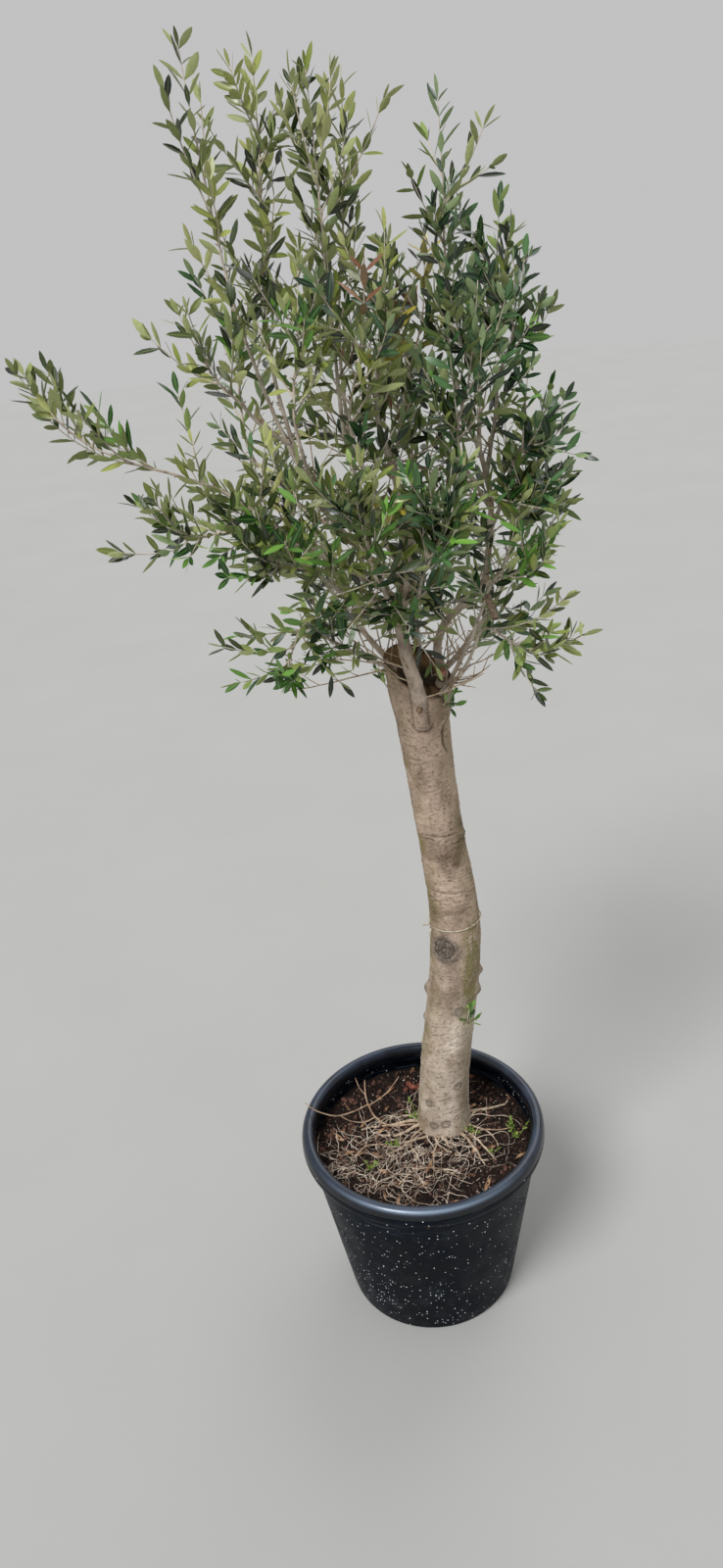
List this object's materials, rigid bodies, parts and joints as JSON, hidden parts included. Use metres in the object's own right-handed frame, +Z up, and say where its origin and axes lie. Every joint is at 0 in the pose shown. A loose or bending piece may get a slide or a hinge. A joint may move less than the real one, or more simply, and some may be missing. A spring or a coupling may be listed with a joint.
{
  "type": "potted olive tree",
  "caption": "Olive tree with a stout cut-back trunk and an airy crown of upright leafy shoots, growing in a round black plastic nursery pot filled with compost.",
  "frame": {"origin": "centre of the pot's flat underside, on the ground", "axes": "+Z up along the plant's height, -Y towards the side that the picture shows, +X to its right"},
  "size_m": [0.8925, 0.6646, 2.3253],
  "materials": {
    "black_plastic": "satin black moulded plastic with dust and fine pale specks",
    "compost": "rough dark brown bark compost with dry roots",
    "trunk_bark": "matt grey-tan olive bark with wrinkles, knots and lichen",
    "bough_bark": "smooth matt grey young bark",
    "foliage": "leathery leaves, dark grey-green above and silvery below",
    "tie_wire": "dull grey wire"
  },
  "bodies": {
    "root": {"pot": "black_plastic", "soil": "compost", "trunk": "trunk_bark", "old_tie": "tie_wire", "bough_front": "bough_bark", "bough_left": "bough_bark", "bough_left_top": "bough_bark", "bough_left_shoulder": "bough_bark", "bough_left_back": "bough_bark", "bough_left_inner": "bough_bark", "bough_leader": "bough_bark", "bough_leader_back": "bough_bark", "bough_front_high": "bough_bark", "bough_centre_back": "bough_bark", "bough_right": "bough_bark", "bough_right_inner": "bough_bark", "bough_right_shoulder": "bough_bark", "bough_right_front": "bough_bark", "bough_right_middle": "bough_bark", "bough_right_low": "bough_bark", "bough_right_foot": "bough_bark", "bough_low_right": "bough_bark", "bough_reach_left": "bough_bark", "bough_left_middle": "bough_bark", "bough_low_left": "bough_bark", "bough_front_left_low": "bough_bark", "bough_front_low": "bough_bark", "bough_front_right_low": "bough_bark", "bough_back": "bough_bark", "bough_back_left": "bough_bark", "bough_back_right": "bough_bark", "centre_yellow": "foliage", "whip_left_top": "foliage", "top_left": "foliage", "shoulder_left": "foliage", "back_left_high": "foliage", "inner_left": "foliage", "leader_top": "foliage", "leader_right_top": "foliage", "centre_front": "foliage", "centre_back_top": "foliage", "right_top": "foliage", "inner_right": "foliage", "shoulder_right": "foliage", "right_arm": "foliage", "middle_right": "foliage", "low_right_inner": "foliage", "foot_right": "foliage", "hanging_right": "foliage", "arm_far_left": "foliage", "middle_left": "foliage", "hanging_left": "foliage", "low_left_front": "foliage", "low_front": "foliage", "low_right_front": "foliage", "back_centre": "foliage", "back_left_low": "foliage", "back_right_low": "foliage"}
  },
  "joints": []
}
